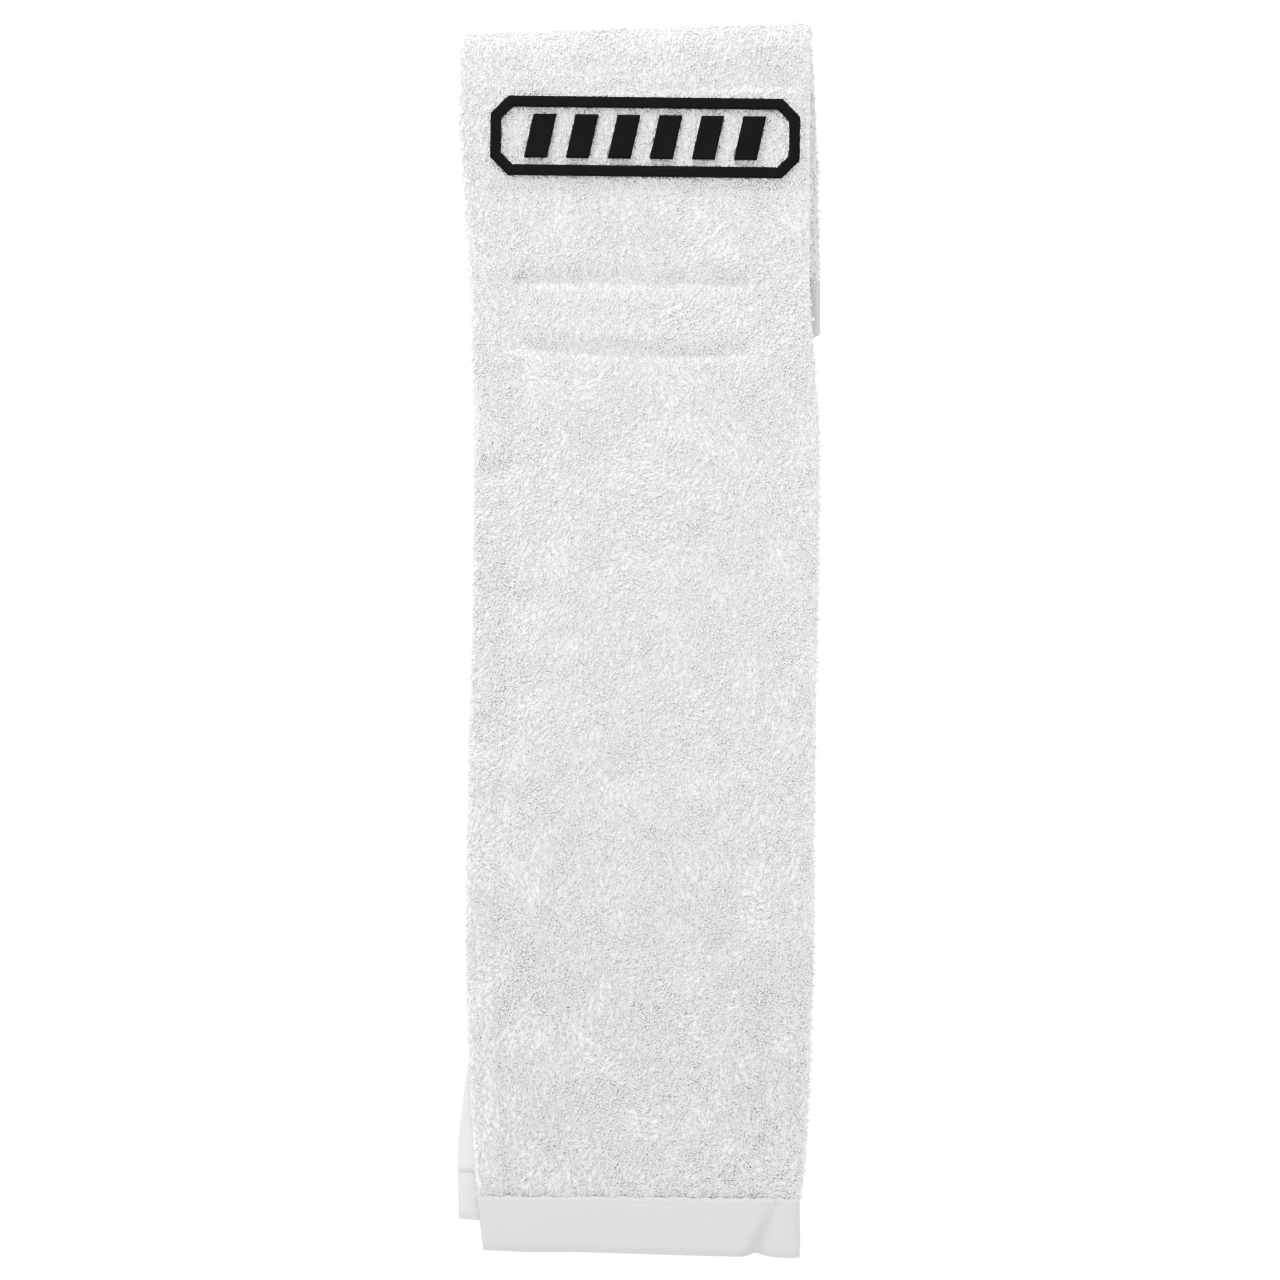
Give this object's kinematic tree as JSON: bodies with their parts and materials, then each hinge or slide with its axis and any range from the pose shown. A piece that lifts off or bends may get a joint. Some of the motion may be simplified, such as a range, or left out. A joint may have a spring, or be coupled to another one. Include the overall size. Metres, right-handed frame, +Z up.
{
  "type": "belt-loop sports towel",
  "caption": "White terry golf or sports towel folded lengthwise, with a fold-over flap that closes round a belt or bag strap.",
  "frame": {"origin": "middle of the belt loop's fold: halfway across the towel and between the front stack and the flap, 6 mm below the middle of the cloth that turns over the belt", "axes": "+X across the towel to the right seen from its badge side, +Y to the rear (the badge faces -Y), +Z up; the towel hangs down along -Z"},
  "size_m": [0.142, 0.0216, 0.4795],
  "materials": {
    "terry_cloth": "white cotton terry with uncut loops outside and a plain woven inside",
    "flat_hem_cloth": "white flat-woven cotton, turned and sewn",
    "white_thread": "white polyester sewing thread",
    "grey_thread": "grey sewing thread",
    "loop_tape_nylon": "white woven nylon tape with a brushed loop face",
    "hook_tape_nylon": "white woven nylon tape with stiff nylon hooks",
    "badge_rubber": "matt black moulded silicone rubber with softly bevelled edges"
  },
  "bodies": {
    "front_stack": {"front_leaf": "terry_cloth", "front_side_hem": "terry_cloth", "front_side_thread": "white_thread", "front_bottom_hem": "flat_hem_cloth", "front_hem_thread": "white_thread", "rear_leaf_upper": "terry_cloth", "rear_upper_side_hem": "terry_cloth", "loop_tape": "loop_tape_nylon", "loop_tape_stitch": "white_thread", "badge_frame": "badge_rubber", "badge_bars": "badge_rubber", "tack_stitch": "grey_thread"},
    "crown": {"crown_outer_leaf": "terry_cloth", "crown_inner_leaf": "terry_cloth"},
    "flap": {"flap_inner_leaf": "terry_cloth", "flap_outer_leaf": "terry_cloth", "flap_inner_side_hem": "terry_cloth", "flap_outer_side_hem": "terry_cloth", "flap_side_thread": "white_thread", "flap_inner_end_hem": "flat_hem_cloth", "flap_outer_end_hem": "flat_hem_cloth", "flap_hem_thread": "white_thread", "hook_tape": "hook_tape_nylon", "hook_tape_stitch": "white_thread"},
    "rear_leaf": {"rear_leaf_lower": "terry_cloth", "rear_lower_side_hem": "terry_cloth", "rear_lower_side_thread": "white_thread", "rear_bottom_hem": "flat_hem_cloth", "rear_hem_thread": "white_thread"}
  },
  "joints": [
    {"name": "crown_fold", "type": "hinge", "parent": "front_stack", "child": "crown", "pos_m": [0, -0.006, 0.006], "axis": [1, 0, 0], "range_deg": [0, 90]},
    {"name": "flap_fold", "type": "hinge", "parent": "crown", "child": "flap", "pos_m": [0, 0.006, 0.006], "axis": [1, 0, 0], "range_deg": [0, 90]},
    {"name": "rear_leaf_open", "type": "hinge", "parent": "front_stack", "child": "rear_leaf", "pos_m": [0.0695, -0.006, -0.1263], "axis": [-0.0186, 0, -0.9998], "range_deg": [0, 70], "stiffness_Nm_per_rad": 0.02}
  ],
  "couplings": [
    {"joint": "crown_fold", "follows": "flap_fold", "ratio": 1}
  ]
}
